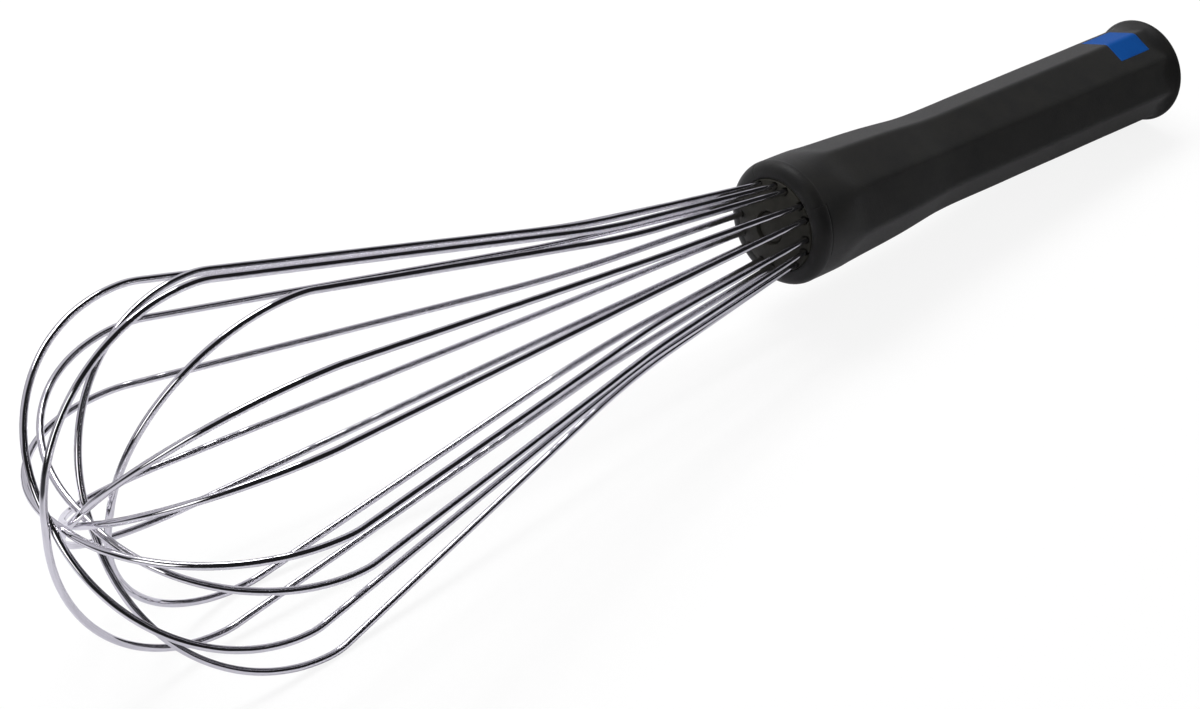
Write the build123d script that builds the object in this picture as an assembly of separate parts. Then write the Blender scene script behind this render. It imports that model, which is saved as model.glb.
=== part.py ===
from build123d import *
import math
import os

# Balloon whisk, in millimetres. The pieces are built upright: the axis is Z, the wires leave the
# handle at Z = 0 and the tip of the cage is up. At the end they are laid down as the whisk rests
# on a table, on two wires and the collar of the handle, with the butt towards +X and +Z up.

# Wire cage
WIRE_DIAMETER = 1.6
NECK_HEIGHT = 55.0
NECK_RADIUS = 18.0
NECK_BEND_RADIUS = 230.0
BELLY_RADIUS = 40.0
SHOULDER_BEND_RADIUS = 20.0
CROWN_SHARE = 0.945
CAGE_HEIGHT = 203.5
NEST_STEP = 1.85

# Wire tails inside the handle
TAIL_CIRCLE_RADIUS = 9.4
TAIL_BEND_DEPTH = 9.0
TAIL_BEND_RADIUS = 24.0
TAIL_DEPTH = 30.0

# One row for each loop, from the strand nearest to the azimuth 0 on: how many nest steps its tip
# lies below the outermost loop, the bellies of its two strands as shares of the belly radius, their
# necks as shares of the neck radius, and the degrees that the bent wire is turned and leans away
# from its even place.
LOOP_NEST_STEPS_AND_SHARES = (
    (1.0, 0.97, 1.06, 0.95, 1.04, -2.5, -0.5),
    (5.0, 0.93, 1.12, 1.00, 1.14, 1.5, -0.5),
    (2.0, 0.97, 1.05, 0.92, 0.86, -2.5, -0.25),
    (4.0, 0.95, 0.88, 1.07, 1.02, 1.0, -0.25),
    (3.0, 1.11, 0.97, 1.14, 1.04, -3.0, 0.25),
    (7.0, 1.01, 1.04, 0.97, 0.89, 2.5, -0.25),
    (0.0, 1.01, 1.01, 0.93, 1.00, -2.0, 0.5),
    (6.0, 0.94, 1.16, 0.96, 1.07, 3.0, 1.5),
)
FIRST_LOOP_AZIMUTH = 11.25

# Handle
HANDLE_LENGTH = 146.6
MOUTH_SETBACK = 0.9
MOUTH_RADIUS = 15.6
MOUTH_EDGE_RADIUS = 2.8
GRIP_APOTHEM = 12.0
GRIP_CORNER_RADIUS = 2.4
GRIP_SIDES = 8
# Place along the handle as a share of its length, and the distance of the flats from the axis there
# as a share of the grip's. Near the mouth the flats leave the round barrel and fade.
GRIP_SHARES = (
    (0.00, 1.48),
    (0.05, 1.35),
    (0.08, 1.275),
    (0.11, 1.21),
    (0.14, 1.18),
    (0.18, 1.155),
    (0.22, 1.13),
    (0.26, 1.10),
    (0.30, 1.06),
    (0.35, 1.01),
    (0.39, 0.995),
    (0.44, 0.995),
    (0.50, 1.00),
    (0.60, 1.00),
    (0.70, 1.005),
    (0.80, 1.005),
    (0.90, 1.01),
    (1.00, 1.01),
)
COLLAR_RADIUS = 14.0
COLLAR_SWOOP_LENGTH = 7.1
COLLAR_SWOOP_DEPTH = 2.1
COLLAR_EDGE_RADIUS = 0.8
SEAM_DEPTH = 0.15
SEAM_WIDTH = 0.25
SEAM_SETBACK = 3.3
SEAM_START_AZIMUTH = 38.0
SEAM_END_AZIMUTH = 88.0
SEAM_TOP_AZIMUTH = 178.0

# Socket in the handle and what it holds
SOCKET_RADIUS = 11.8
SOCKET_DEPTH = 34.0
FIT_CLEARANCE = 0.05
PLUG_CROWN_HEIGHT = 1.6
PLUG_RIM_HEIGHT = -0.6
STEM_CLEARANCE = 0.3
PLUG_THICKNESS = 6.0
NOTCH_WIDTH = 2.1
DIMPLE_RADIUS = 4.2
DIMPLE_DEPTH = 0.8
BAND_WIDTH = 6.0
BAND_THICKNESS = 1.0
BAND_SETBACK = 2.0

# Colour tag
TAG_LENGTH = 12.5
TAG_FRONT_REACH = 5.8
TAG_TOP_REACH = 7.8
TAG_THICKNESS = 0.6
TAG_END_SETBACK = 7.0
TAG_AZIMUTH = 135.0

# Resting on a table: the azimuth that faces down, and how far the axis rises towards the tip
REST_AZIMUTH = 318.292
REST_TILT_ANGLE = 5.304

# Overrun of cutting tools
OVERRUN = 2.0

LOOP_COUNT = len(LOOP_NEST_STEPS_AND_SHARES)
STRAND_STEP = 360.0 / (2 * LOOP_COUNT)
WIRE_RADIUS = WIRE_DIAMETER / 2
BUTT_Z = -MOUTH_SETBACK - HANDLE_LENGTH


# Points of half a loop, as (radius, height) pairs from the tail inside the handle to the crown.
# Straight runs alternate with tangent arcs, and an arc has a point halfway along it.
def half_loop(belly, neck, tip, crown):
    steep = math.atan2(neck - TAIL_CIRCLE_RADIUS, NECK_HEIGHT + TAIL_BEND_DEPTH)
    belly_height = tip - crown
    run_up = belly_height - NECK_HEIGHT
    run_out = belly - SHOULDER_BEND_RADIUS - neck
    flare = math.atan2(run_out, run_up) + math.asin(SHOULDER_BEND_RADIUS / math.hypot(run_out, run_up))
    points = [(TAIL_CIRCLE_RADIUS, -TAIL_DEPTH)]
    points += corner_arc((TAIL_CIRCLE_RADIUS, -TAIL_BEND_DEPTH), 0, steep, TAIL_BEND_RADIUS)
    points += corner_arc((neck, NECK_HEIGHT), steep, flare, NECK_BEND_RADIUS)
    shoulder = (belly - SHOULDER_BEND_RADIUS, belly_height)
    points += [on_circle(shoulder, SHOULDER_BEND_RADIUS, part * flare) for part in (1, 0.5, 0)]
    middle = (belly - crown, belly_height)
    points += [on_circle(middle, crown, -part * math.pi / 2) for part in (0.5, 1)]
    return points


# Point of a circle whose outward tangent, measured from the axis direction, has the given angle.
def on_circle(centre, radius, angle):
    return (centre[0] + radius * math.cos(angle), centre[1] - radius * math.sin(angle))


# Start, middle and end of the arc that rounds a corner between two directions off the axis.
def corner_arc(corner, before, after, radius):
    reach = radius * math.tan((after - before) / 2)
    start = (corner[0] - reach * math.sin(before), corner[1] - reach * math.cos(before))
    end = (corner[0] + reach * math.sin(after), corner[1] + reach * math.cos(after))
    between = (before + after) / 2
    sag = radius * (1 / math.cos((after - before) / 2) - 1)
    middle = (corner[0] + sag * math.cos(between), corner[1] - sag * math.sin(between))
    return [start, middle, end]


# Turns and leans a bent loop, drawn in the XZ plane, to its place round the axis.
def loop_place(index):
    turn, lean = LOOP_NEST_STEPS_AND_SHARES[index][5:]
    azimuth = FIRST_LOOP_AZIMUTH + index * STRAND_STEP + turn
    return Rot(Z=azimuth) * Rot(X=-lean)


# Belly and neck radius of each strand, tip height and crown radius of a loop, to the wire's
# centre line.
def loop_sizes(index):
    steps, near_belly, far_belly, near_neck, far_neck = LOOP_NEST_STEPS_AND_SHARES[index][:5]
    near = (near_belly * BELLY_RADIUS, near_neck * NECK_RADIUS)
    far = (far_belly * BELLY_RADIUS, far_neck * NECK_RADIUS)
    tip = CAGE_HEIGHT - steps * NEST_STEP
    return near, far, tip, CROWN_SHARE * (near[0] + far[0]) / 2


# One unbroken wire: up one side, over the crown and down the other.
def wire_loop(index):
    near, far, tip, crown = loop_sizes(index)
    sides = []
    for side, (belly, neck) in ((1, near), (-1, far)):
        sides.append([Vector(side * r, 0, z) for r, z in half_loop(belly, neck, tip, crown)])
    path = []
    for points in sides:
        tail, *rest = points
        path.append(Line(tail, rest[0]))
        path.append(ThreePointArc(*rest[0:3]))
        path.append(Line(rest[2], rest[3]))
        path.append(ThreePointArc(*rest[3:6]))
        path.append(Line(rest[5], rest[6]))
        path.append(ThreePointArc(*rest[6:9]))
        path.append(ThreePointArc(*rest[8:11]))
    path.append(Line(sides[0][-1], sides[1][-1]))
    line = Wire(path)
    section = Plane(origin=sides[0][0], z_dir=Vector(0, 0, 1)) * Circle(WIRE_RADIUS)
    return loop_place(index) * sweep(section, path=line)


# Eight-sided skin of the grip, drawn in by a depth all round.
def grip_skin(drawn_in=0.0):
    sections = []
    for place, width in GRIP_SHARES:
        apothem = width * GRIP_APOTHEM - drawn_in
        octagon = RegularPolygon(apothem, GRIP_SIDES, major_radius=False)
        octagon = fillet(octagon.vertices(), GRIP_CORNER_RADIUS)
        sections.append(Pos(Z=-MOUTH_SETBACK - place * HANDLE_LENGTH) * octagon)
    return loft(sections)


# Round collar at the butt: a hollow sweep out of the flats and a rounded edge.
def collar():
    neck = COLLAR_RADIUS - COLLAR_SWOOP_DEPTH
    swoop_end = BUTT_Z + COLLAR_EDGE_RADIUS
    swoop_start = swoop_end + COLLAR_SWOOP_LENGTH
    outline = [
        Line((0, swoop_start), (neck, swoop_start)),
        TangentArc((neck, swoop_start), (COLLAR_RADIUS, swoop_end), tangent=(0, -1)),
        TangentArc((COLLAR_RADIUS, swoop_end), (COLLAR_RADIUS - COLLAR_EDGE_RADIUS, BUTT_Z), tangent=(0, -1)),
        Line((COLLAR_RADIUS - COLLAR_EDGE_RADIUS, BUTT_Z), (0, BUTT_Z)),
        Line((0, BUTT_Z), (0, swoop_start)),
    ]
    return revolve(Plane.XZ * make_face(outline), Axis.Z)


# Round limit of the grip, with a rounded mouth edge, drawn in by a depth.
def barrel(drawn_in=0.0):
    align = (Align.CENTER, Align.CENTER, Align.MAX)
    drum = Cylinder(MOUTH_RADIUS - drawn_in, HANDLE_LENGTH, align=align)
    drum = fillet(drum.edges().sort_by(Axis.Z)[-1], MOUTH_EDGE_RADIUS)
    return Pos(Z=-MOUTH_SETBACK - drawn_in) * drum


# Fine mould seam: part of a ring behind the mouth's edge, and short lines from there to the front.
def mould_seam():
    skin = barrel() - barrel(SEAM_DEPTH)
    ring_height = -MOUTH_SETBACK - SEAM_SETBACK
    arc = SEAM_END_AZIMUTH - SEAM_START_AZIMUTH
    band = Plane.XZ * Pos(MOUTH_RADIUS, ring_height) * Rectangle(MOUTH_EDGE_RADIUS, SEAM_WIDTH)
    line = Rot(Z=SEAM_START_AZIMUTH) * revolve(band, Axis.Z, arc)
    tick = Box(MOUTH_RADIUS, SEAM_WIDTH, SEAM_SETBACK, align=(Align.MIN, Align.CENTER, Align.MIN))
    tick = Pos(SOCKET_RADIUS, 0, ring_height) * tick
    ticks = [skin & (Rot(Z=azimuth) * tick) for azimuth in (SEAM_END_AZIMUTH, SEAM_TOP_AZIMUTH)]
    return [skin & line, *ticks]


# Block that cuts the tag out of the grip's skin, grown by a clearance.
def tag_block(grown=0.0):
    height = TAG_LENGTH + 2 * grown
    width = TAG_FRONT_REACH + TAG_TOP_REACH + 2 * grown
    middle = BUTT_Z + TAG_END_SETBACK + TAG_LENGTH / 2
    aside = (TAG_TOP_REACH - TAG_FRONT_REACH) / 2
    block = Box(MOUTH_RADIUS, width, height, align=(Align.MIN, Align.CENTER, Align.CENTER))
    return Rot(Z=TAG_AZIMUTH) * Pos(Y=aside, Z=middle) * block


def colour_tag():
    return (grip_skin() & tag_block()) - grip_skin(TAG_THICKNESS)


def handle_body():
    body = (grip_skin() & barrel()) + collar()
    socket = Cylinder(SOCKET_RADIUS, SOCKET_DEPTH + OVERRUN, align=(Align.CENTER, Align.CENTER, Align.MAX))
    body -= Pos(Z=OVERRUN) * socket
    body -= (grip_skin() & tag_block(FIT_CLEARANCE)) - grip_skin(TAG_THICKNESS + FIT_CLEARANCE)
    for groove in mould_seam():
        body -= groove
    return body


# Radius of the plug's stem, inside the circle of the wire tails.
def stem_radius():
    return TAIL_CIRCLE_RADIUS - WIRE_RADIUS - STEM_CLEARANCE


# Domed plug with a stem, a shallow round recess and one open notch for each strand.
def mouth_plug():
    rim = SOCKET_RADIUS - FIT_CLEARANCE
    stem = stem_radius()
    outline = [
        ThreePointArc((-rim, PLUG_RIM_HEIGHT), (0, PLUG_CROWN_HEIGHT), (rim, PLUG_RIM_HEIGHT)).trim(0.5, 1),
        Polyline(
            (rim, PLUG_RIM_HEIGHT),
            (rim, -PLUG_THICKNESS),
            (stem, -PLUG_THICKNESS),
            (stem, -SOCKET_DEPTH + FIT_CLEARANCE),
            (0, -SOCKET_DEPTH + FIT_CLEARANCE),
            (0, PLUG_CROWN_HEIGHT),
        ),
    ]
    plug = revolve(Plane.XZ * make_face(outline), Axis.Z)
    plug -= Pos(Z=PLUG_CROWN_HEIGHT - DIMPLE_DEPTH) * Cylinder(
        DIMPLE_RADIUS, DIMPLE_DEPTH + OVERRUN, align=(Align.CENTER, Align.CENTER, Align.MIN)
    )
    depth = PLUG_THICKNESS + PLUG_CROWN_HEIGHT + 2 * OVERRUN
    notch = Box(SOCKET_RADIUS, NOTCH_WIDTH, depth, align=(Align.MIN, Align.CENTER, Align.MAX))
    notch = Pos(stem, 0, PLUG_CROWN_HEIGHT + OVERRUN) * notch
    for index in range(LOOP_COUNT):
        for side in (0, 180):
            plug -= loop_place(index) * Rot(Z=side) * notch
    return plug


# Steel ring round the tails.
def tail_band():
    inner = TAIL_CIRCLE_RADIUS + WIRE_RADIUS + FIT_CLEARANCE
    ring = Cylinder(inner + BAND_THICKNESS, BAND_WIDTH) - Cylinder(inner, BAND_WIDTH)
    return Pos(Z=-TAIL_DEPTH + BAND_SETBACK + BAND_WIDTH / 2) * ring


# Resin round the tails, behind the plug's flange.
def sealing_resin(wires, band):
    top = -PLUG_THICKNESS - FIT_CLEARANCE
    height = SOCKET_DEPTH - FIT_CLEARANCE + top
    tube = Cylinder(SOCKET_RADIUS - FIT_CLEARANCE, height) - Cylinder(stem_radius() + FIT_CLEARANCE, height)
    tube = Pos(Z=top - height / 2) * tube
    return tube - band - wires


wires = [wire_loop(index) for index in range(LOOP_COUNT)]
band = tail_band()
pieces = {
    "handle_body": handle_body(),
    "mouth_plug": mouth_plug(),
    "tail_band": band,
    "sealing_resin": sealing_resin(wires, band),
    "colour_tag": colour_tag(),
}
for index, wire in enumerate(wires):
    pieces[f"wire_loop_{index + 1}"] = wire

# Lays the whisk down and puts the middle of its footprint at the origin.
laid = Rot(Y=REST_TILT_ANGLE - 90) * Rot(Z=180 - REST_AZIMUTH)
box = Compound([laid * piece for piece in pieces.values()]).bounding_box()
laid = Pos(-box.center().X, -box.center().Y, -box.min.Z) * laid

os.makedirs("parts", exist_ok=True)
for name, piece in pieces.items():
    piece = laid * piece
    export_step(piece, f"parts/{name}.step")
    print(name, len(piece.solids()), round(piece.volume, 1))
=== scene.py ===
"""Dressed model of a balloon whisk with a dark moulded handle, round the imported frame.

Every shape is worked out upright, in metres: the axis is Z, the wires leave the handle at Z = 0
and the tip of the cage is up. Placement then lays the points down as the whisk rests on a table.
"""

from __future__ import annotations

import logging
import math
from dataclasses import dataclass
from enum import Enum

import bpy
import numpy as np
from mathutils import Matrix, Vector

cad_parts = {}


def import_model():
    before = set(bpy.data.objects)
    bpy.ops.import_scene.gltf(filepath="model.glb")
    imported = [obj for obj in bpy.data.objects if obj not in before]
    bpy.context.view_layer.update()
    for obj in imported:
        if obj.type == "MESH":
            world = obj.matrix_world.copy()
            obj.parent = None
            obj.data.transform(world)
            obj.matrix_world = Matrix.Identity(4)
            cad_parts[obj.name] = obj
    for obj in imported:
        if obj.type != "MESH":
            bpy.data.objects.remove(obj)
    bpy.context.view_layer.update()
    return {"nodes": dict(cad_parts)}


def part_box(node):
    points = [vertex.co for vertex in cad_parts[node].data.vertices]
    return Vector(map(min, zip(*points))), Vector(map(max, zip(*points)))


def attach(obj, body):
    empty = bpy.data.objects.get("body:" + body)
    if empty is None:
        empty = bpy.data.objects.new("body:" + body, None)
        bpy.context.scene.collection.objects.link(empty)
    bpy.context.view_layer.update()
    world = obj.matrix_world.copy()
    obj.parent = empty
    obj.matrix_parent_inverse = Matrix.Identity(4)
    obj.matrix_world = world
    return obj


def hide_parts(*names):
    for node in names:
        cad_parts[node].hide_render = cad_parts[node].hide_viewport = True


Array = np.ndarray
LOG = logging.getLogger("whisk")
BODY = "root"
MM = 0.001


# Shapes and meshes


class Axis(Enum):
    """The three axes, by their number."""

    X = 0
    Y = 1
    Z = 2


def turn_matrix(axis: Axis, angle: float) -> Array:
    """Rotation about one axis, with the cosine and sine of the angle in the other two.

    Args:
        axis: The axis that stays.
        angle: The angle, anticlockwise as seen from the axis's far end.

    Returns:
        The 3 by 3 matrix.
    """
    one, two = (axis.value + 1) % 3, (axis.value + 2) % 3
    matrix = np.eye(3)
    matrix[one, one] = matrix[two, two] = math.cos(angle)
    matrix[two, one] = math.sin(angle)
    matrix[one, two] = -math.sin(angle)
    return matrix


def smooth_step(low: float, high: float, value: Array) -> Array:
    """Eases from 0 at low to 1 at high: 3 t squared minus 2 t cubed, with t held within 0 and 1.

    Args:
        low: Where the rise starts.
        high: Where the rise ends.
        value: Places to evaluate.

    Returns:
        The eased values.
    """
    t = np.clip((value - low) / (high - low), 0.0, 1.0)
    return t * t * (3.0 - 2.0 * t)


def soft_min(a: Array, b: Array, blend: float) -> Array:
    """Lower of two arrays with a rounded crossing.

    It is half their sum less half the root of their squared difference plus the squared blend.

    Args:
        a: First values.
        b: Second values.
        blend: Size of the rounding.

    Returns:
        The blended lower values.
    """
    return 0.5 * (a + b - np.sqrt((a - b) ** 2 + blend**2))


def soft_max(a: Array, b: Array, blend: float) -> Array:
    """Higher of two arrays with a rounded crossing, as soft_min mirrored.

    Args:
        a: First values.
        b: Second values.
        blend: Size of the rounding.

    Returns:
        The blended higher values.
    """
    return -soft_min(-a, -b, blend)


def ring_mesh(name: str, points: Array, start_pole: Array, end_pole: Array) -> bpy.types.Mesh:
    """Mesh of a grid of points whose columns close on themselves, with a pole at either end.

    Rows run along the shape and columns round it. Each grid cell is one face, and a pole joins
    the end row in a fan.

    Args:
        name: Name of the mesh.
        points: Array of rows by columns by 3.
        start_pole: Point that closes the first row.
        end_pole: Point that closes the last row.

    Returns:
        The mesh, smooth shaded.
    """
    rows, columns = points.shape[:2]
    index = np.arange(rows * columns).reshape(rows, columns)
    after = np.roll(index, -1, axis=1)
    quads = np.stack([index[:-1], after[:-1], after[1:], index[1:]], axis=-1).reshape(-1, 4)
    vertices = np.vstack([points.reshape(-1, 3), start_pole, end_pole])
    first_pole = rows * columns
    start_fan = np.stack([after[0], index[0], np.full(columns, first_pole)], axis=-1)
    end_fan = np.stack([index[-1], after[-1], np.full(columns, first_pole + 1)], axis=-1)
    faces = quads.tolist() + start_fan.tolist() + end_fan.tolist()
    mesh = bpy.data.meshes.new(name)
    mesh.from_pydata(vertices.tolist(), [], faces)
    mesh.polygons.foreach_set("use_smooth", np.ones(len(mesh.polygons), dtype=bool))
    mesh.update()
    return mesh


def add_piece(mesh: bpy.types.Mesh, material: bpy.types.Material, replaced: str) -> None:
    """Puts a mesh into the scene as a piece of the whisk.

    Args:
        mesh: The finished mesh, in place.
        material: Its material.
        replaced: Node of the frame that the piece stands for.
    """
    piece = bpy.data.objects.new(mesh.name, mesh)
    bpy.context.scene.collection.objects.link(piece)
    mesh.materials.append(material)
    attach(piece, BODY)
    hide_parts(replaced)
    LOG.info("piece %s: %d faces", piece.name, len(mesh.polygons))


@dataclass(frozen=True)
class Placement:
    """Lays the upright whisk down on two wires and its collar, with the butt towards +X."""

    down_azimuth: float = math.radians(318.292)
    tilt: float = math.radians(5.304)
    anchor_node: str = "tail_band"
    anchor_height: float = -25.0 * MM

    def turn(self) -> Array:
        """Rotation about Z that brings the lowest side to -X, then about Y to lie down."""
        spin = turn_matrix(Axis.Z, math.pi - self.down_azimuth)
        fall = turn_matrix(Axis.Y, self.tilt - math.pi / 2)
        return fall @ spin

    def shift(self) -> Array:
        """Move that brings the anchor ring's middle to where the frame has it."""
        low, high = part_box(self.anchor_node)
        middle = (np.array(low) + np.array(high)) / 2
        return middle - self.turn() @ np.array([0.0, 0.0, self.anchor_height])

    def lay(self, points: Array) -> Array:
        """Lays points down.

        Args:
            points: Upright points, any shape ending in 3.

        Returns:
            The same points in the frame's place.
        """
        return points @ self.turn().T + self.shift()


# Finishes


class Grain(Enum):
    """How the surface of a moulded piece is textured."""

    FINE = 2600.0
    COARSE = 1500.0


def socket(
    group: bpy.types.NodeTree, name: str, kind: str, way: str, default: float | None = None
) -> None:
    """Adds a named socket to a node group.

    Args:
        group: The node group.
        name: Name of the socket.
        kind: Socket type, such as NodeSocketFloat.
        way: INPUT or OUTPUT.
        default: Default value, or None.
    """
    made = group.interface.new_socket(name=name, in_out=way, socket_type=kind)
    if default is not None:
        made.default_value = default


def grain_group() -> bpy.types.NodeTree:
    """Node group for moulded grain: a fine height and a broad mottling mask.

    Returns:
        The group, with inputs Vector, Scale and Mottle Scale and outputs Height and Mottle.
    """
    group = bpy.data.node_groups.new("MouldedGrain", "ShaderNodeTree")
    socket(group, "Vector", "NodeSocketVector", "INPUT")
    socket(group, "Scale", "NodeSocketFloat", "INPUT", 2600.0)
    socket(group, "Mottle Scale", "NodeSocketFloat", "INPUT", 160.0)
    socket(group, "Height", "NodeSocketFloat", "OUTPUT")
    socket(group, "Mottle", "NodeSocketFloat", "OUTPUT")
    nodes, links = group.nodes, group.links
    come = nodes.new("NodeGroupInput")
    leave = nodes.new("NodeGroupOutput")
    fine = nodes.new("ShaderNodeTexNoise")
    fine.inputs["Detail"].default_value = 3.0
    fine.inputs["Roughness"].default_value = 0.65
    cells = nodes.new("ShaderNodeTexVoronoi")
    cells.inputs["Randomness"].default_value = 1.0
    mix = nodes.new("ShaderNodeMath")
    mix.operation = "MULTIPLY_ADD"
    mix.inputs[1].default_value = 0.55
    mottle = nodes.new("ShaderNodeTexNoise")
    mottle.inputs["Detail"].default_value = 4.0
    mottle.inputs["Roughness"].default_value = 0.6
    links.new(come.outputs["Vector"], fine.inputs["Vector"])
    links.new(come.outputs["Scale"], fine.inputs["Scale"])
    links.new(come.outputs["Vector"], cells.inputs["Vector"])
    links.new(come.outputs["Scale"], cells.inputs["Scale"])
    links.new(cells.outputs["Distance"], mix.inputs[0])
    links.new(fine.outputs["Fac"], mix.inputs[2])
    links.new(mix.outputs[0], leave.inputs["Height"])
    links.new(come.outputs["Vector"], mottle.inputs["Vector"])
    links.new(come.outputs["Mottle Scale"], mottle.inputs["Scale"])
    links.new(mottle.outputs["Fac"], leave.inputs["Mottle"])
    return group


def new_material(name: str) -> tuple[bpy.types.Material, bpy.types.Node]:
    """Empty node material with its Principled shader.

    Args:
        name: Name of the material.

    Returns:
        The material and its shader node.
    """
    material = bpy.data.materials.new(name)
    material.use_nodes = True
    return material, material.node_tree.nodes["Principled BSDF"]


@dataclass(frozen=True)
class MouldedFinish:
    """Moulded plastic: a base colour that mottles towards a second one, and a grained skin."""

    name: str
    base: tuple[float, float, float]
    mottled: tuple[float, float, float]
    roughness: float
    roughness_spread: float
    grain: Grain
    grain_height: float
    gloss: float = 0.5
    sheen: float = 0.0

    def build(self, grain: bpy.types.NodeTree) -> bpy.types.Material:
        """Builds the material.

        Args:
            grain: The shared grain group.

        Returns:
            The material.
        """
        material, shader = new_material(self.name)
        nodes, links = material.node_tree.nodes, material.node_tree.links
        place = nodes.new("ShaderNodeTexCoord")
        skin = nodes.new("ShaderNodeGroup")
        skin.node_tree = grain
        skin.inputs["Scale"].default_value = self.grain.value
        links.new(place.outputs["Object"], skin.inputs["Vector"])
        tone = nodes.new("ShaderNodeMapRange")
        tone.inputs["From Min"].default_value = 0.35
        tone.inputs["From Max"].default_value = 0.65
        links.new(skin.outputs["Mottle"], tone.inputs["Value"])
        colour = nodes.new("ShaderNodeMix")
        colour.data_type = "RGBA"
        colour.inputs["A"].default_value = (*self.base, 1.0)
        colour.inputs["B"].default_value = (*self.mottled, 1.0)
        links.new(tone.outputs["Result"], colour.inputs["Factor"])
        links.new(colour.outputs["Result"], shader.inputs["Base Color"])
        gloss = nodes.new("ShaderNodeMapRange")
        gloss.inputs["To Min"].default_value = self.roughness - self.roughness_spread
        gloss.inputs["To Max"].default_value = self.roughness + self.roughness_spread
        links.new(skin.outputs["Height"], gloss.inputs["Value"])
        links.new(gloss.outputs["Result"], shader.inputs["Roughness"])
        bump = nodes.new("ShaderNodeBump")
        bump.inputs["Strength"].default_value = 0.5
        bump.inputs["Distance"].default_value = self.grain_height
        links.new(skin.outputs["Height"], bump.inputs["Height"])
        links.new(bump.outputs["Normal"], shader.inputs["Normal"])
        shader.inputs["Specular IOR Level"].default_value = self.gloss
        shader.inputs["Sheen Weight"].default_value = self.sheen
        shader.inputs["Sheen Roughness"].default_value = 0.45
        return material


@dataclass(frozen=True)
class SteelFinish:
    """Bright drawn steel: faint streaks along the wire in its colour, gloss and height."""

    name: str
    bright: tuple[float, float, float]
    dull: tuple[float, float, float]
    roughness: float
    roughness_spread: float
    streak_height: float
    wave_height: float

    def build(self) -> bpy.types.Material:
        """Builds the material, which reads the wire's own attribute "drawn".

        Returns:
            The material.
        """
        material, shader = new_material(self.name)
        nodes, links = material.node_tree.nodes, material.node_tree.links
        drawn = nodes.new("ShaderNodeAttribute")
        drawn.attribute_name = "drawn"
        stretch = nodes.new("ShaderNodeMapping")
        stretch.inputs["Scale"].default_value = (90.0, 2600.0, 2600.0)
        links.new(drawn.outputs["Vector"], stretch.inputs["Vector"])
        streak = nodes.new("ShaderNodeTexNoise")
        streak.inputs["Scale"].default_value = 1.0
        streak.inputs["Detail"].default_value = 3.0
        links.new(stretch.outputs["Vector"], streak.inputs["Vector"])
        wave = nodes.new("ShaderNodeTexNoise")
        wave.inputs["Scale"].default_value = 130.0
        wave.inputs["Detail"].default_value = 1.0
        links.new(drawn.outputs["Vector"], wave.inputs["Vector"])
        tone = nodes.new("ShaderNodeMapRange")
        tone.inputs["From Min"].default_value = 0.3
        tone.inputs["From Max"].default_value = 0.7
        links.new(streak.outputs["Fac"], tone.inputs["Value"])
        colour = nodes.new("ShaderNodeMix")
        colour.data_type = "RGBA"
        colour.inputs["A"].default_value = (*self.dull, 1.0)
        colour.inputs["B"].default_value = (*self.bright, 1.0)
        links.new(tone.outputs["Result"], colour.inputs["Factor"])
        links.new(colour.outputs["Result"], shader.inputs["Base Color"])
        gloss = nodes.new("ShaderNodeMapRange")
        gloss.inputs["To Min"].default_value = self.roughness - self.roughness_spread
        gloss.inputs["To Max"].default_value = self.roughness + self.roughness_spread
        links.new(wave.outputs["Fac"], gloss.inputs["Value"])
        links.new(gloss.outputs["Result"], shader.inputs["Roughness"])
        bend = nodes.new("ShaderNodeBump")
        bend.inputs["Strength"].default_value = 1.0
        bend.inputs["Distance"].default_value = self.wave_height
        links.new(wave.outputs["Fac"], bend.inputs["Height"])
        bump = nodes.new("ShaderNodeBump")
        bump.inputs["Strength"].default_value = 0.2
        bump.inputs["Distance"].default_value = self.streak_height
        links.new(streak.outputs["Fac"], bump.inputs["Height"])
        links.new(bend.outputs["Normal"], bump.inputs["Normal"])
        links.new(bump.outputs["Normal"], shader.inputs["Normal"])
        shader.inputs["Metallic"].default_value = 1.0
        return material


# Wire cage


@dataclass(frozen=True)
class WireLoop:
    """One bent wire: shares of its two strands' bellies and necks, its tip, and how it sits."""

    near_belly_share: float
    far_belly_share: float
    near_neck_share: float
    far_neck_share: float
    nest_steps: float
    turn: float
    lean: float


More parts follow.
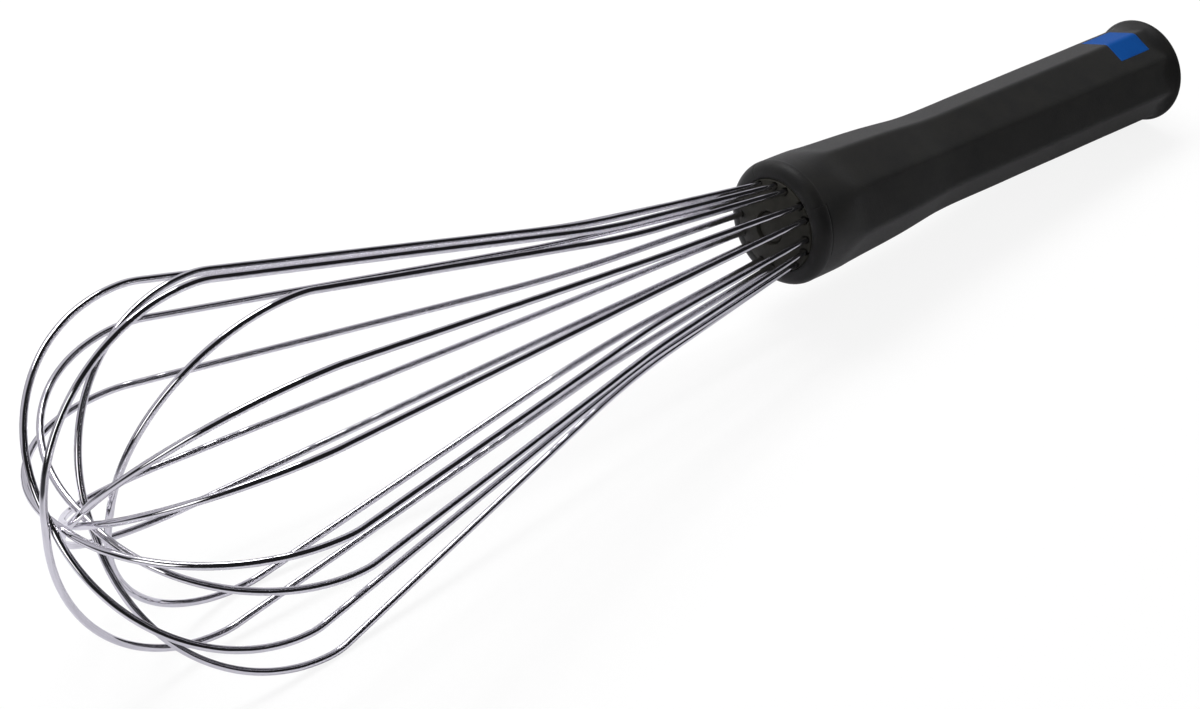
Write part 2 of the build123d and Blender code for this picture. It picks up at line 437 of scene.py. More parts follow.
@dataclass
class WireCage:
    """Eight nested loops of drawn wire that spring from a circle in the handle's mouth."""

    placement: Placement
    wire_radius: float = 0.8 * MM
    tail_circle: float = 9.4 * MM
    neck_height: float = 55.0 * MM
    neck_radius: float = 18.0 * MM
    neck_bend: float = 230.0 * MM
    shoulder_bend: float = 20.0 * MM
    crown_share: float = 0.945
    belly: float = 40.0 * MM
    height: float = 203.5 * MM
    nest_step: float = 1.85 * MM
    tail_bend_depth: float = 9.0 * MM
    tail_bend: float = 24.0 * MM
    tail_depth: float = 30.0 * MM
    first_azimuth: float = 11.25
    step_length: float = 0.9 * MM
    least_gap: float = 0.0001 * MM
    fewest_points: int = 8
    sides: int = 20
    loops: tuple[WireLoop, ...] = (
        WireLoop(0.97, 1.06, 0.95, 1.04, 1.0, -2.5, -0.5),
        WireLoop(0.93, 1.12, 1.00, 1.14, 5.0, 1.5, -0.5),
        WireLoop(0.97, 1.05, 0.92, 0.86, 2.0, -2.5, -0.25),
        WireLoop(0.95, 0.88, 1.07, 1.02, 4.0, 1.0, -0.25),
        WireLoop(1.11, 0.97, 1.14, 1.04, 3.0, -3.0, 0.25),
        WireLoop(1.01, 1.04, 0.97, 0.89, 7.0, 2.5, -0.25),
        WireLoop(1.01, 1.01, 0.93, 1.00, 0.0, -2.0, 0.5),
        WireLoop(0.94, 1.16, 0.96, 1.07, 6.0, 3.0, 1.5),
    )

    def steepness(self, neck: float) -> float:
        """Angle off the axis at which a strand leaves the mouth.

        Args:
            neck: Radius of the strand's neck.

        Returns:
            The angle.
        """
        return math.atan2(neck - self.tail_circle, self.neck_height + self.tail_bend_depth)

    def mouth_places(self) -> list[tuple[float, float]]:
        """Places, across the mouth, at which the sixteen strands leave it.

        Returns:
            Pairs of lengths across and aside.
        """
        places = []
        for index, loop in enumerate(self.loops):
            for side, share in ((1.0, loop.near_neck_share), (-1.0, loop.far_neck_share)):
                steep = self.steepness(share * self.neck_radius)
                radius = side * (self.tail_circle + self.tail_bend_depth * math.tan(steep))
                angle = math.radians(self.azimuth(index))
                places.append((radius * math.cos(angle), radius * math.sin(angle)))
        return places

    def azimuth(self, index: int) -> float:
        """Azimuth, in degrees, of a loop's near strand.

        Args:
            index: Number of the loop, from 0.

        Returns:
            The azimuth.
        """
        return self.first_azimuth + index * 180.0 / len(self.loops) + self.loops[index].turn

    def arc(self, corner: tuple[float, float], before: float, after: float, radius: float) -> Array:
        """Points of the arc that rounds a corner between two headings off the axis.

        The centre lies on the outer side. A point at heading t is the centre plus the radius
        times minus cosine t outwards and sine t along the axis.

        Args:
            corner: Corner as radius and height.
            before: Heading before the corner.
            after: Heading after it.
            radius: Radius of the bend.

        Returns:
            Points as rows of radius and height.
        """
        reach = radius * math.tan((after - before) / 2)
        start = (corner[0] - reach * math.sin(before), corner[1] - reach * math.cos(before))
        centre = (start[0] + radius * math.cos(before), start[1] - radius * math.sin(before))
        heading = np.linspace(before, after, self.count(abs(after - before) * radius))
        outwards = centre[0] - radius * np.cos(heading)
        return np.stack([outwards, centre[1] + radius * np.sin(heading)], axis=-1)

    def rounding(self, belly: float, height: float, radius: float, heading: Array) -> Array:
        """Points of an arc that runs along the axis where it meets the belly.

        A point lies in from the belly by the radius times one less cosine of the heading, and
        up from the belly's height by the radius times sine.

        Args:
            belly: Radius of the belly.
            height: Height of the belly.
            radius: Radius of the arc.
            heading: Headings past the belly, negative before it.

        Returns:
            Points as rows of radius and height.
        """
        inwards = radius * (1 - np.cos(heading))
        return np.stack([belly - inwards, height + radius * np.sin(heading)], axis=-1)

    def count(self, length: float) -> int:
        """Number of points for a stretch of wire.

        Args:
            length: Length of the stretch.

        Returns:
            The number, no lower than the fewest.
        """
        return max(self.fewest_points, int(length / self.step_length))

    def half(self, belly: float, neck: float, tip: float, crown: float) -> Array:
        """Centre line of one side of a loop, from the tail to the crown, as radius and height.

        A straight tail, a bend at the mouth, a run, the neck's bend, the flank, the shoulder's
        arc and the crown's quarter arc follow each other with common tangents.

        Args:
            belly: Largest radius of the side.
            neck: Radius of the side's neck.
            tip: Height of the crown's top.
            crown: Radius of the crown's arc.

        Returns:
            Points as rows of radius and height.
        """
        steep = self.steepness(neck)
        belly_height = tip - crown
        run_out = belly - self.shoulder_bend - neck
        run_up = belly_height - self.neck_height
        flare = math.atan2(run_out, run_up) + math.asin(self.shoulder_bend / math.hypot(run_out, run_up))
        tail = self.tail_circle
        before = np.linspace(-flare, 0.0, self.count(flare * self.shoulder_bend))
        past = np.linspace(0.0, math.pi / 2, self.count(crown * math.pi / 2))
        stretches = [
            np.array([[tail, -self.tail_depth]]),
            self.arc((tail, -self.tail_bend_depth), 0.0, steep, self.tail_bend),
            self.arc((neck, self.neck_height), steep, flare, self.neck_bend),
            self.rounding(belly, belly_height, self.shoulder_bend, before),
            self.rounding(belly, belly_height, crown, past),
        ]
        return np.vstack(stretches)

    def centre_line(self, loop: WireLoop) -> Array:
        """Whole centre line of a loop in its own plane, evenly sampled.

        Args:
            loop: The loop.

        Returns:
            Points as rows of place across and height.
        """
        near, far = loop.near_belly_share * self.belly, loop.far_belly_share * self.belly
        tip = self.height - loop.nest_steps * self.nest_step
        crown = self.crown_share * (near + far) / 2
        up = self.half(near, loop.near_neck_share * self.neck_radius, tip, crown)
        down = self.half(far, loop.far_neck_share * self.neck_radius, tip, crown)[::-1]
        line = np.vstack([up, down * np.array([-1.0, 1.0])])
        gaps = np.linalg.norm(np.diff(line, axis=0), axis=1)
        line = line[np.concatenate([[True], gaps > self.least_gap])]
        travel = np.concatenate([[0.0], np.cumsum(np.linalg.norm(np.diff(line, axis=0), axis=1))])
        even = np.linspace(0.0, travel[-1], self.count(travel[-1]))
        return np.stack([np.interp(even, travel, line[:, k]) for k in (0, 1)], axis=-1)

    def sweep(self, index: int) -> bpy.types.Mesh:
        """Round wire carried along a loop's centre line.

        A surface point is the line's point plus the wire radius times cosine phi along the
        outward normal plus sine phi along the normal of the loop's plane. The plane then leans
        about its own width and turns about the axis.

        Args:
            index: Number of the loop, from 0.

        Returns:
            The mesh, with the attribute "drawn": length along the wire and the place on its section.
        """
        loop = self.loops[index]
        line = self.centre_line(loop)
        along = np.gradient(line, axis=0)
        along /= np.linalg.norm(along, axis=1, keepdims=True)
        outward = np.stack([along[:, 1], -along[:, 0]], axis=-1)
        phi = np.linspace(0.0, 2 * math.pi, self.sides, endpoint=False)
        across = line[:, None, :] + self.wire_radius * np.cos(phi)[None, :, None] * outward[:, None, :]
        aside = np.broadcast_to(self.wire_radius * np.sin(phi), across.shape[:2])
        flat = np.stack([across[..., 0], aside, across[..., 1]], axis=-1)
        ends = np.array([[line[0, 0], 0.0, line[0, 1]], [line[-1, 0], 0.0, line[-1, 1]]])
        turn = self.loop_turn(index)
        points = self.placement.lay(flat @ turn.T)
        poles = self.placement.lay(ends @ turn.T)
        mesh = ring_mesh(f"drawn_wire_{index + 1}", points, poles[0], poles[1])
        travel = np.concatenate([[0.0], np.cumsum(np.linalg.norm(np.diff(line, axis=0), axis=1))])
        self.store_drawn(mesh, travel, phi)
        return mesh

    def loop_turn(self, index: int) -> Array:
        """Rotation of a loop from the XZ plane: a lean about X, then a turn about Z.

        Args:
            index: Number of the loop, from 0.

        Returns:
            The 3 by 3 matrix.
        """
        lean = turn_matrix(Axis.X, -math.radians(self.loops[index].lean))
        turn = turn_matrix(Axis.Z, math.radians(self.azimuth(index)))
        return turn @ lean

    def store_drawn(self, mesh: bpy.types.Mesh, travel: Array, phi: Array) -> None:
        """Stores length along the wire and the place on its section at each vertex.

        Args:
            mesh: The wire's mesh.
            travel: Length along the wire at each row.
            phi: Angle round the wire at each column.
        """
        grid = np.zeros((len(travel), len(phi), 3))
        grid[..., 0] = travel[:, None]
        grid[..., 1] = self.wire_radius * np.cos(phi)[None, :]
        grid[..., 2] = self.wire_radius * np.sin(phi)[None, :]
        poles = np.array([[travel[0], 0.0, 0.0], [travel[-1], 0.0, 0.0]])
        values = np.vstack([grid.reshape(-1, 3), poles]).astype(np.float32)
        mesh.attributes.new("drawn", "FLOAT_VECTOR", "POINT").data.foreach_set("vector", values.ravel())

    def build(self, steel: bpy.types.Material) -> None:
        """Builds and places all eight wires.

        Args:
            steel: Material of the wire.
        """
        for index in range(len(self.loops)):
            add_piece(self.sweep(index), steel, f"wire_loop_{index + 1}")


# Handle


@dataclass
class Grip:
    """Moulded grip: eight soft-edged flats that fade into a round mouth and a round collar."""

    placement: Placement
    length: float = 146.6 * MM
    mouth_setback: float = 0.9 * MM
    mouth_radius: float = 15.6 * MM
    mouth_edge: float = 2.8 * MM
    socket_radius: float = 11.8 * MM
    socket_depth: float = 34.0 * MM
    apothem: float = 12.0 * MM
    corner_radius: float = 2.4 * MM
    flats: int = 8
    collar_radius: float = 14.0 * MM
    collar_length: float = 7.1 * MM
    collar_depth: float = 2.1 * MM
    collar_edge: float = 0.8 * MM
    wall_break: float = 6.0 * MM
    lip_rounding: float = 0.15 * MM
    lip_cut: float = 0.04 * MM
    barrel_start: float = 0.2 * MM
    mouth_fade: float = 0.6 * MM
    collar_fade: float = 0.2 * MM
    seam_depth: float = 0.12 * MM
    seam_width: float = 0.22 * MM
    seam_setback: float = 3.3 * MM
    seam_from: float = math.radians(38.0)
    seam_to: float = math.radians(88.0)
    seam_top: float = math.radians(178.0)
    seam_start_fade: float = math.radians(3.0)
    seam_end_fade: float = 0.01
    inner_rows: int = 6
    edge_rows: int = 12
    seam_rows: int = 7
    barrel_rows: int = 190
    corner_columns: int = 22
    corner_crowding: float = 1.6
    tick_columns: int = 9
    face_shares: tuple[float, ...] = (0.85, 0.6, 0.3, 0.05)
    width_shares: tuple[tuple[float, float], ...] = (
        (0.00, 1.48),
        (0.05, 1.35),
        (0.08, 1.275),
        (0.11, 1.21),
        (0.14, 1.18),
        (0.18, 1.155),
        (0.22, 1.13),
        (0.26, 1.10),
        (0.30, 1.06),
        (0.35, 1.01),
        (0.39, 0.995),
        (0.44, 0.995),
        (0.50, 1.00),
        (0.60, 1.00),
        (0.70, 1.005),
        (0.80, 1.005),
        (0.90, 1.01),
        (1.00, 1.01),
    )

    def butt(self) -> float:
        """Height of the butt face."""
        return -self.mouth_setback - self.length

    def flat_distance(self, height: Array) -> Array:
        """Distance of the flats from the axis, by a smooth cubic through the width shares.

        Each share pair is a place along the grip, as a share of its length, and the distance
        there as a share of the waist's.

        Args:
            height: Heights to evaluate.

        Returns:
            The distances.
        """
        place = (-self.mouth_setback - height) / self.length
        knots = np.array(self.width_shares)
        slopes = np.gradient(knots[:, 1], knots[:, 0])
        cell = np.clip(np.searchsorted(knots[:, 0], place) - 1, 0, len(knots) - 2)
        x0, x1 = knots[cell, 0], knots[cell + 1, 0]
        y0, y1 = knots[cell, 1], knots[cell + 1, 1]
        span = x1 - x0
        t = np.clip((place - x0) / span, 0.0, 1.0)
        rise = (2 * t**3 - 3 * t**2 + 1) * y0 + (t**3 - 2 * t**2 + t) * span * slopes[cell]
        return self.apothem * (rise + (3 * t**2 - 2 * t**3) * y1 + (t**3 - t**2) * span * slopes[cell + 1])

    def octagon(self, distance: Array, azimuth: Array) -> Array:
        """Polar radius of an octagon with rounded corners.

        On a flat it is the distance over the cosine of the angle from the flat's middle. Near a
        corner it is the far crossing with the corner's circle.

        Args:
            distance: Distance of the flats, any shape that broadcasts.
            azimuth: Angles round the axis.

        Returns:
            The radii.
        """
        half = math.pi / self.flats
        from_corner = np.abs((azimuth + half) % (2 * half) - half)
        from_flat = half - from_corner
        on_flat = distance / np.cos(from_flat)
        reach = (distance - self.corner_radius) / math.cos(half)
        rounded = reach * np.cos(from_corner) + np.sqrt(
            np.maximum(self.corner_radius**2 - (reach * np.sin(from_corner)) ** 2, 0.0)
        )
        flat_end = (distance - self.corner_radius) * math.tan(half)
        return np.where(distance * np.tan(from_flat) <= flat_end, on_flat, rounded)

    def azimuths(self) -> Array:
        """Angles round the axis, closer together at the corners and at the seam's tick.

        Returns:
            Sorted angles.
        """
        half = math.pi / self.flats
        spread = np.linspace(-1.0, 1.0, self.corner_columns, endpoint=False)
        near_corner = half * np.sign(spread) * np.abs(spread) ** self.corner_crowding
        around = (np.arange(self.flats)[:, None] * 2 * half + near_corner[None, :]).ravel()
        beside = np.linspace(-1.0, 1.0, self.tick_columns) * self.seam_width / self.mouth_radius
        ticks = np.concatenate([self.seam_to + beside, self.seam_top + beside])
        decimals = 7
        return np.unique(np.round(np.concatenate([around % (2 * math.pi), ticks]), decimals))

    def profile(self) -> tuple[Array, Array, Array]:
        """Stations from the socket's floor over the lip and along the grip to the butt.

        The mouth's edge and the butt's edge are quarter circles, the barrel is round and the
        collar is a hollow arc tangent to the grip.

        Returns:
            Heights, limiting radii, and whether the limit alone is the surface.
        """
        lip = -self.mouth_setback
        wall = self.socket_radius
        floor = lip - self.socket_depth
        inside = [
            (floor, wall / 2),
            (floor, wall),
            (lip - self.wall_break, wall),
            (lip - self.lip_rounding, wall),
            (lip - self.lip_cut, wall + self.lip_cut),
            (lip, wall + self.lip_rounding),
        ]
        turn = np.linspace(0.0, math.pi / 2, self.edge_rows)
        edge_height = lip - self.mouth_edge * (1 - np.cos(turn))
        edge_radius = self.mouth_radius - self.mouth_edge + self.mouth_edge * np.sin(turn)
        seam = lip - self.seam_setback + np.linspace(-1.0, 1.0, self.seam_rows) * self.seam_width
        start = self.mouth_edge + self.barrel_start
        barrel = lip - np.linspace(start, self.length - self.collar_edge, self.barrel_rows)
        along = np.sort(np.concatenate([seam, barrel]))[::-1]
        end_height = self.butt() + self.collar_edge * (1 - np.sin(turn[1:]))
        end_radius = self.collar_radius - self.collar_edge * (1 - np.cos(turn[1:]))
        face = [(self.butt(), self.collar_radius * share) for share in self.face_shares]
        before = np.vstack([inside, np.stack([edge_height, edge_radius], axis=-1)])
        body = np.stack([along, np.full(len(along), self.mouth_radius)], axis=-1)
        after = np.vstack([np.stack([end_height, end_radius], axis=-1), face])
        rows = np.vstack([before, body, after])
        plain = np.repeat([True, False, True], [len(before), len(body), len(after)])
        return rows[:, 0], rows[:, 1], plain

    def collar(self, height: Array) -> Array:
        """Radius of the collar's hollow sweep: an arc that leaves the grip along the axis.

        Before the arc starts, the radius falls off with the distance, so that it stays inside.

        Args:
            height: Heights to evaluate.

        Returns:
            The radii.
        """
        end = self.butt() + self.collar_edge
        chord = self.collar_depth**2 + self.collar_length**2
        radius = chord / (2 * self.collar_depth)
        travel = end + self.collar_length - height
        swept = np.clip(travel, 0.0, self.collar_length)
        flare = radius - np.sqrt(radius**2 - swept**2)
        return self.collar_radius - self.collar_depth + flare + np.minimum(travel, 0.0)

    def seam(self, height: Array, azimuth: Array) -> Array:
        """Depth of the fine mould seam: part of a ring, and a tick from it to the front.

        Args:
            height: Heights, as a column.
            azimuth: Angles, as a row.

        Returns:
            The depths.
        """
        ring_height = -self.mouth_setback - self.seam_setback
        ring = np.clip(1 - np.abs(height - ring_height) / self.seam_width, 0.0, 1.0)
        ring = ring * smooth_step(self.seam_from, self.seam_from + self.seam_start_fade, azimuth)
        ring = ring * (1 - smooth_step(self.seam_to, self.seam_to + self.seam_end_fade, azimuth))
        near = np.minimum(np.abs(azimuth - self.seam_to), np.abs(azimuth - self.seam_top))
        tick = np.clip(1 - near * self.mouth_radius / self.seam_width, 0.0, 1.0)
        tick = tick * smooth_step(ring_height - self.seam_width, ring_height, height)
        return self.seam_depth * np.maximum(ring, tick)

    def build(self, plastic: bpy.types.Material) -> None:
        """Builds and places the grip.

        Args:
            plastic: Material of the grip.
        """
        height, limit, plain = self.profile()
        azimuth = self.azimuths()
        distance = self.flat_distance(height)[:, None]
        skin = self.octagon(distance, azimuth[None, :])
        skin = soft_min(skin, limit[:, None], self.mouth_fade)
        skin = soft_max(skin, self.collar(height)[:, None], self.collar_fade)
        radius = np.where(plain[:, None], limit[:, None], skin)
        outer = (np.arange(len(height)) >= self.inner_rows)[:, None]
        radius = radius - np.where(outer, self.seam(height[:, None], azimuth[None, :]), 0.0)
        tall = np.broadcast_to(height[:, None], radius.shape)
        points = np.stack([radius * np.cos(azimuth), radius * np.sin(azimuth), tall], axis=-1)
        floor = self.placement.lay(np.array([0.0, 0.0, height[0]]))
        butt = self.placement.lay(np.array([0.0, 0.0, self.butt()]))
        mesh = ring_mesh("moulded_grip", self.placement.lay(points)[:, ::-1], floor, butt)
        add_piece(mesh, plastic, "handle_body")

    def skin_radius(self, height: Array, azimuth: Array) -> Array:
        """Radius of the grip's flats, without mouth or collar.

        Args:
            height: Heights.
            azimuth: Angles, of a shape that broadcasts with them.

        Returns:
            The radii.
        """
        return self.octagon(self.flat_distance(height), azimuth)


@dataclass
class MouthPlug:
    """Domed end plug with a round recess and a pit round each strand."""

    placement: Placement
    cage: WireCage
    rim: float = 11.76 * MM
    crown_height: float = 1.6 * MM
    rim_height: float = -0.6 * MM
    dimple_radius: float = 4.2 * MM
    dimple_depth: float = 0.8 * MM
    dimple_fall: float = 0.1 * MM
    pit_radius: float = 0.88 * MM
    pit_wall: tuple[float, float] = (-0.05 * MM, 0.1 * MM)
    pit_depth: float = 4.0 * MM
    dimple_groove: float = 0.45 * MM
    groove_width: float = 0.22 * MM
    rim_gap: float = 0.8 * MM
    rim_gap_width: float = 0.3 * MM
    skirt: float = 6.0 * MM
    middle: tuple[float, float] = (0.4 * MM, 9.4 * MM)
    middle_rows: int = 46
    border: tuple[float, float] = (-0.6 * MM, 0.2 * MM)
    border_rows: int = 17
    outside_start: float = 9.5 * MM
    outside_rows: int = 32
    least_row_gap: float = 0.001 * MM
    columns: int = 512

    def face(self, radius: Array, azimuth: Array) -> Array:
        """Height of the face: a dome that falls with the radius squared, less recess and pits.

        The recess has a narrow groove inside its border, deepest there and falling off with the
        exponential of minus the squared distance over the groove's width. The rim falls away
        into a narrow dark gap beside the grip.

        Args:
            radius: Radii.
            azimuth: Angles.

        Returns:
            The heights.
        """
        dome = self.crown_height + (self.rim_height - self.crown_height) * (radius / self.rim) ** 2
        inside, outside = self.dimple_radius - self.dimple_fall, self.dimple_radius + self.dimple_fall
        recess = self.dimple_depth * (1 - smooth_step(inside, outside, radius))
        border = (radius - self.dimple_radius + self.groove_width) / self.groove_width
        recess = recess + self.dimple_groove * np.exp(-(border**2))
        recess = recess + self.rim_gap * smooth_step(self.rim - self.rim_gap_width, self.rim, radius)
        x, y = radius * np.cos(azimuth), radius * np.sin(azimuth)
        pit = np.zeros_like(x)
        inside, outside = self.pit_radius + self.pit_wall[0], self.pit_radius + self.pit_wall[1]
        for across, aside in self.cage.mouth_places():
            gap = np.hypot(x - across, y - aside)
            pit = np.maximum(pit, 1 - smooth_step(inside, outside, gap))
        return dome - recess - self.pit_depth * pit

    def build(self, plastic: bpy.types.Material) -> None:
        """Builds and places the plug.

        Args:
            plastic: Material of the plug.
        """
        middle = np.linspace(*self.middle, self.middle_rows)
        border = self.dimple_radius + np.linspace(*self.border, self.border_rows)
        outside = np.linspace(self.outside_start, self.rim, self.outside_rows)
        radius = np.sort(np.concatenate([middle, border, outside]))
        radius = radius[np.concatenate([[True], np.diff(radius) > self.least_row_gap])]
        azimuth = np.linspace(0.0, 2 * math.pi, self.columns, endpoint=False)
        r, a = np.meshgrid(radius, azimuth, indexing="ij")
        face = np.stack([r * np.cos(a), r * np.sin(a), self.face(r, a)], axis=-1)
        floor = face[-1:].copy()
        floor[..., 2] = -self.skirt
        points = np.vstack([face, floor])
        centre = self.crown_height - self.dimple_depth
        top = self.placement.lay(np.array([0.0, 0.0, centre]))
        bottom = self.placement.lay(np.array([0.0, 0.0, -self.skirt]))
        mesh = ring_mesh("mouth_seal", self.placement.lay(points)[:, ::-1], top, bottom)
        add_piece(mesh, plastic, "mouth_plug")


@dataclass
class Tag:
    """Thin coloured patch let into two flats of the grip near the butt."""

    placement: Placement
    grip: Grip
    length: float = 12.5 * MM
    front_reach: float = 5.8 * MM
    top_reach: float = 7.8 * MM
    thickness: float = 0.5 * MM
    proud: float = 0.03 * MM
    edge: float = 0.12 * MM
    end_setback: float = 7.0 * MM
    azimuth: float = math.radians(135.0)
    rows: int = 26
    columns: int = 61

    def angle(self, across: Array) -> Array:
        """Azimuth of a place on the two flats beside the fold.

        A flat's point at a stated distance across the fold reaches out to the flat's distance
        less the distance across times the sine of the half angle, over its cosine.

        Args:
            across: Distances across the fold.

        Returns:
            The azimuths.
        """
        half = math.pi / self.grip.flats
        reach = (self.grip.apothem - np.abs(across) * math.sin(half)) / math.cos(half)
        return self.azimuth + np.arctan2(across, reach)

    def build(self, plastic: bpy.types.Material) -> None:
        """Builds and places the tag.

        Its section runs over the grip's own skin, a little proud, and back below it. The rows go
        along the grip, and both ends are closed by a row that is drawn in to the patch's middle.

        Args:
            plastic: Material of the tag.
        """
        bottom = self.grip.butt() + self.end_setback
        along = np.linspace(self.edge, self.length - self.edge, self.rows)
        height = bottom + np.concatenate([[0.0, 0.0], along, [self.length] * 2])
        over = np.linspace(-self.front_reach, self.top_reach, self.columns)
        across = np.concatenate([over, over[::-1]])
        rise = np.repeat([self.proud, -self.thickness], self.columns)
        rise[[0, self.columns - 1]] = self.proud - self.edge
        h, c = np.meshgrid(height, across, indexing="ij")
        angle = self.angle(c)
        ends = np.zeros(len(height))
        ends[[1, -2]] = self.edge
        radius = self.grip.skin_radius(h, angle) + np.minimum(rise[None, :], self.proud - ends[:, None])
        points = np.stack([radius * np.cos(angle), radius * np.sin(angle), h], axis=-1)
        inner = self.grip.apothem - self.thickness / 2
        centre = np.array([inner * math.cos(self.azimuth), inner * math.sin(self.azimuth), 0.0])
        low = self.placement.lay(centre + np.array([0.0, 0.0, height[0]]))
        high = self.placement.lay(centre + np.array([0.0, 0.0, height[-1]]))
        mesh = ring_mesh("blue_patch", self.placement.lay(points[1:-1]), low, high)
        add_piece(mesh, plastic, "colour_tag")


# Studio


@dataclass(frozen=True)
class Lamp:
    """Soft rectangular lamp: where it stands, its width and height, its watts, and if it mirrors."""

    name: str
    place: tuple[float, float, float]
    size: tuple[float, float]
    power: float
    mirrored: bool = True


@dataclass
class Studio:
    """Pale floor, soft lamps, a plain surrounding and the camera."""

    focal_pixels: float = 2624.7
    image_width: float = 1200.0
    sensor: float = 36.0
    card_place: tuple[float, float, float] = (-0.12, -0.03, 0.0)
    wall_side: tuple[float, float, float] = (0.0, 0.92, 0.39)
    camera_place: tuple[float, float, float] = (-0.367913, -0.358493, 0.366287)
    camera_right: tuple[float, float, float] = (0.724470, -0.689306, 0.000154)
    camera_down: tuple[float, float, float] = (-0.398717, -0.419239, -0.815637)
    camera_reach: tuple[float, float] = (0.01, 20.0)
    floor_reach: float = 3.0
    floor_white: float = 0.86
    floor_glow: float = 0.86
    card_edge: tuple[float, float] = (0.15, 0.34)
    card_tone: tuple[float, float, float] = (0.60, 0.59, 0.64)
    card_outside: tuple[float, float, float] = (0.04, 0.04, 0.045)
    plain_light: float = 0.42
    wall_edge: tuple[float, float] = (0.48, 0.66)
    wall_tone: tuple[float, float, float] = (0.54, 0.53, 0.58)
    wall_outside: tuple[float, float, float] = (0.012, 0.012, 0.013)
    lamp_aim: tuple[float, float, float] = (0.0, 0.0, 0.03)
    lamps: tuple[Lamp, ...] = (
        Lamp("lamp_above", (0.1, 0.5, 0.95), (1.3, 0.5), 7.5, mirrored=False),
        Lamp("lamp_small", (0.05, 0.45, 0.9), (0.5, 0.3), 4.2),
        Lamp("lamp_left", (-1.1, -0.15, 0.55), (0.5, 0.7), 2.0),
        Lamp("lamp_behind", (0.35, 1.2, 0.35), (1.4, 0.4), 4.0, mirrored=False),
    )

    def camera(self) -> None:
        """Puts the camera where the photograph was taken from."""
        data = bpy.data.cameras.new("camera")
        data.sensor_width = self.sensor
        data.lens = self.sensor * self.focal_pixels / self.image_width
        data.clip_start, data.clip_end = self.camera_reach
        camera = bpy.data.objects.new("camera", data)
        right = Vector(self.camera_right).normalized()
        up = -Vector(self.camera_down)
        up = (up - up.dot(right) * right).normalized()
        back = right.cross(up)
        turn = Matrix((right, up, back)).transposed().to_4x4()
        camera.matrix_world = Matrix.Translation(Vector(self.camera_place)) @ turn
        bpy.context.scene.collection.objects.link(camera)
        bpy.context.scene.camera = camera

    def hang(self, lamp: Lamp) -> None:
        """Adds a lamp, aimed at the whisk's middle.

        Args:
            lamp: The lamp's numbers.
        """
        data = bpy.data.lights.new(lamp.name, "AREA")
        data.shape = "RECTANGLE"
        data.size, data.size_y = lamp.size
        data.energy = lamp.power
        hung = bpy.data.objects.new(lamp.name, data)
        hung.visible_glossy = lamp.mirrored
        aim = Vector(self.lamp_aim) - Vector(lamp.place)
        turn = aim.to_track_quat("-Z", "Y").to_matrix().to_4x4()
        hung.matrix_world = Matrix.Translation(Vector(lamp.place)) @ turn
        bpy.context.scene.collection.objects.link(hung)

    def ramp(
        self,
        nodes: bpy.types.Nodes,
        edge: tuple[float, float],
        low: tuple[float, float, float],
        high: tuple[float, float, float],
    ) -> bpy.types.Node:
        """Adds a colour ramp with two stops.

        Args:
            nodes: Nodes to add it to.
            edge: Places of the two stops.
            low: Colour at the first stop.
            high: Colour at the second stop.

        Returns:
            The ramp's node.
        """
        ramp = nodes.new("ShaderNodeValToRGB")
        for stop, position, colour in zip(ramp.color_ramp.elements, edge, (low, high)):
            stop.position = position
            stop.color = (*colour, 1.0)
        return ramp

    def floor(self) -> None:
        """Adds the floor: white with the shadow kept, and to gloss a pale card on a dark ground."""
        reach = self.floor_reach
        corners = [(-reach, -reach, 0), (reach, -reach, 0), (reach, reach, 0), (-reach, reach, 0)]
        mesh = bpy.data.meshes.new("floor")
        mesh.from_pydata(corners, [], [(0, 1, 2, 3)])
        material, shader = new_material("floor_white")
        nodes, links = material.node_tree.nodes, material.node_tree.links
        shader.inputs["Roughness"].default_value = 0.9
        shader.inputs["Specular IOR Level"].default_value = 0.1
        glow = nodes.new("ShaderNodeEmission")
        glow.inputs["Strength"].default_value = 1.0
        path = nodes.new("ShaderNodeLightPath")
        tone = nodes.new("ShaderNodeMix")
        tone.data_type = "RGBA"
        tone.inputs["A"].default_value = (self.floor_white, self.floor_white, self.floor_white, 1.0)
        place = nodes.new("ShaderNodeTexCoord")
        away = nodes.new("ShaderNodeVectorMath")
        away.operation = "DISTANCE"
        away.inputs[1].default_value = self.card_place
        links.new(place.outputs["Object"], away.inputs[0])
        fade = self.ramp(nodes, self.card_edge, self.card_tone, self.card_outside)
        links.new(away.outputs["Value"], fade.inputs["Fac"])
        links.new(fade.outputs["Color"], tone.inputs["B"])
        links.new(path.outputs["Is Glossy Ray"], tone.inputs["Factor"])
        links.new(tone.outputs["Result"], shader.inputs["Base Color"])
        share = nodes.new("ShaderNodeMath")
        share.operation = "MULTIPLY"
        share.inputs[1].default_value = self.floor_glow
        mix = nodes.new("ShaderNodeMixShader")
        links.new(path.outputs["Is Camera Ray"], share.inputs[0])
        links.new(share.outputs[0], mix.inputs[0])
        links.new(shader.outputs[0], mix.inputs[1])
        links.new(glow.outputs[0], mix.inputs[2])
        links.new(mix.outputs[0], nodes["Material Output"].inputs["Surface"])
        floor = bpy.data.objects.new("floor", mesh)
        mesh.materials.append(material)
        bpy.context.scene.collection.objects.link(floor)

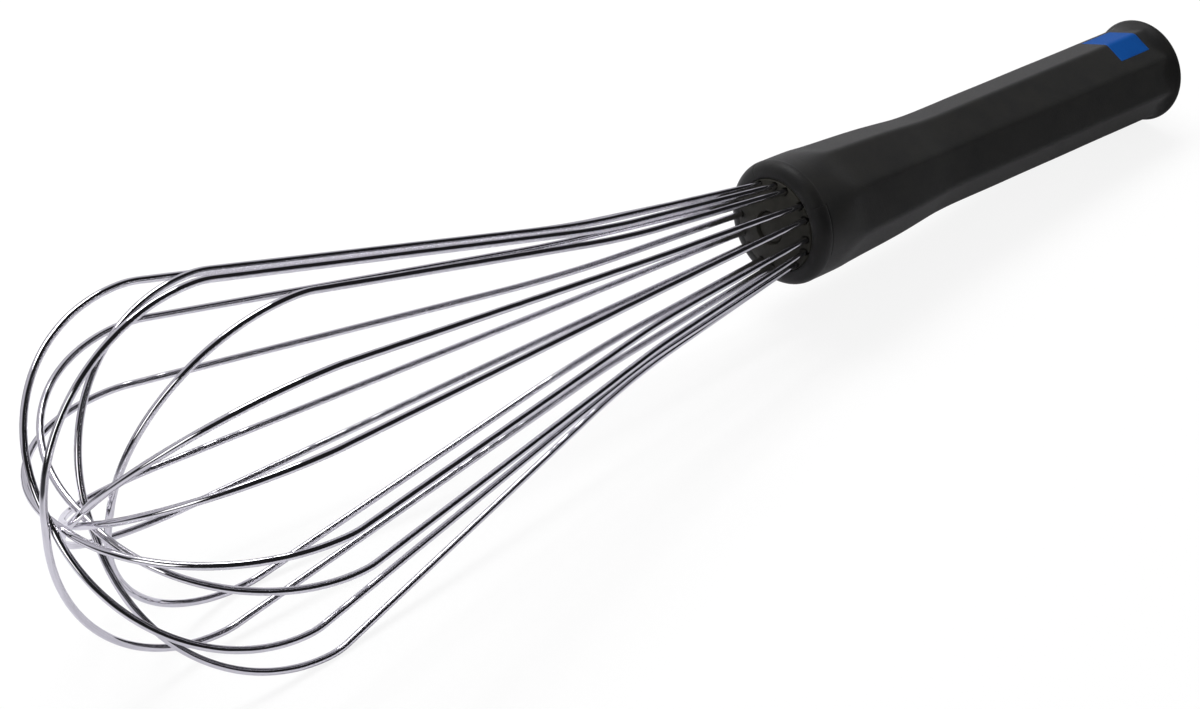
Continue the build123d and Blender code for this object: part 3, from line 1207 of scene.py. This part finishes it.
    def surroundings(self) -> None:
        """White for the camera, a plain grey light, and for gloss a pale wall behind the whisk."""
        world = bpy.data.worlds.new("surroundings")
        world.use_nodes = True
        bpy.context.scene.world = world
        nodes, links = world.node_tree.nodes, world.node_tree.links
        plain = nodes["Background"]
        plain.inputs["Color"].default_value = (1.0, 1.0, 1.0, 1.0)
        plain.inputs["Strength"].default_value = self.plain_light
        white = nodes.new("ShaderNodeBackground")
        white.inputs["Color"].default_value = (1.0, 1.0, 1.0, 1.0)
        dark = nodes.new("ShaderNodeBackground")
        dark.inputs["Strength"].default_value = 1.0
        place = nodes.new("ShaderNodeTexCoord")
        facing = nodes.new("ShaderNodeVectorMath")
        facing.operation = "DOT_PRODUCT"
        facing.inputs[1].default_value = self.wall_side
        links.new(place.outputs["Generated"], facing.inputs[0])
        ramp = self.ramp(nodes, self.wall_edge, self.wall_outside, self.wall_tone)
        links.new(facing.outputs["Value"], ramp.inputs["Fac"])
        links.new(ramp.outputs["Color"], dark.inputs["Color"])
        path = nodes.new("ShaderNodeLightPath")
        first = nodes.new("ShaderNodeMixShader")
        second = nodes.new("ShaderNodeMixShader")
        links.new(path.outputs["Is Glossy Ray"], first.inputs[0])
        links.new(plain.outputs[0], first.inputs[1])
        links.new(dark.outputs[0], first.inputs[2])
        links.new(path.outputs["Is Camera Ray"], second.inputs[0])
        links.new(first.outputs[0], second.inputs[1])
        links.new(white.outputs[0], second.inputs[2])
        links.new(second.outputs[0], nodes["World Output"].inputs["Surface"])

    def build(self) -> None:
        """Sets up floor, surroundings, lamps and camera."""
        scene = bpy.context.scene
        scene.view_settings.view_transform = "Standard"
        self.floor()
        self.surroundings()
        for lamp in self.lamps:
            self.hang(lamp)
        self.camera()


@dataclass(frozen=True)
class Finishes:
    """All finishes of the whisk."""

    grip: MouldedFinish = MouldedFinish(
        name="grip_plastic",
        base=(0.0060, 0.0060, 0.0060),
        mottled=(0.0092, 0.0088, 0.0078),
        roughness=0.46,
        roughness_spread=0.07,
        grain=Grain.FINE,
        grain_height=0.05 * MM,
        gloss=0.20,
        sheen=0.16,
    )
    plug: MouldedFinish = MouldedFinish(
        name="plug_plastic",
        base=(0.015, 0.0143, 0.0108),
        mottled=(0.023, 0.022, 0.017),
        roughness=0.6,
        roughness_spread=0.08,
        grain=Grain.COARSE,
        grain_height=0.06 * MM,
        gloss=0.25,
    )
    tag: MouldedFinish = MouldedFinish(
        name="tag_plastic",
        base=(0.0, 0.052, 0.235),
        mottled=(0.0, 0.058, 0.26),
        roughness=0.42,
        roughness_spread=0.05,
        grain=Grain.FINE,
        grain_height=0.02 * MM,
        gloss=0.2,
    )
    resin: MouldedFinish = MouldedFinish(
        name="resin_plastic",
        base=(0.05, 0.045, 0.035),
        mottled=(0.07, 0.06, 0.05),
        roughness=0.5,
        roughness_spread=0.05,
        grain=Grain.COARSE,
        grain_height=0.04 * MM,
    )
    wire: SteelFinish = SteelFinish(
        name="drawn_steel",
        bright=(0.86, 0.85, 0.88),
        dull=(0.74, 0.73, 0.765),
        roughness=0.085,
        roughness_spread=0.025,
        streak_height=0.003 * MM,
        wave_height=0.35 * MM,
    )
    band: SteelFinish = SteelFinish(
        name="band_steel",
        bright=(0.60, 0.60, 0.60),
        dull=(0.50, 0.50, 0.50),
        roughness=0.35,
        roughness_spread=0.05,
        streak_height=0.01 * MM,
        wave_height=0.05 * MM,
    )


def dress_node(node: bpy.types.Object, material: bpy.types.Material) -> None:
    """Gives a node of the frame its material.

    Args:
        node: The node's object.
        material: The material.
    """
    node.data.materials.clear()
    node.data.materials.append(material)
    LOG.info("node %s: %s", node.name, material.name)


def main() -> None:
    """Builds the whisk piece by piece, then the studio."""
    logging.basicConfig(level=logging.INFO, format="%(name)s %(message)s")
    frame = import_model()
    grain = grain_group()
    finishes = Finishes()
    placement = Placement()
    cage = WireCage(placement)
    cage.build(finishes.wire.build())
    grip = Grip(placement)
    grip.build(finishes.grip.build(grain))
    MouthPlug(placement, cage).build(finishes.plug.build(grain))
    Tag(placement, grip).build(finishes.tag.build(grain))
    dress_node(frame["nodes"]["sealing_resin"], finishes.resin.build(grain))
    dress_node(frame["nodes"]["tail_band"], finishes.band.build())
    Studio().build()


if __name__ == "__main__":
    main()
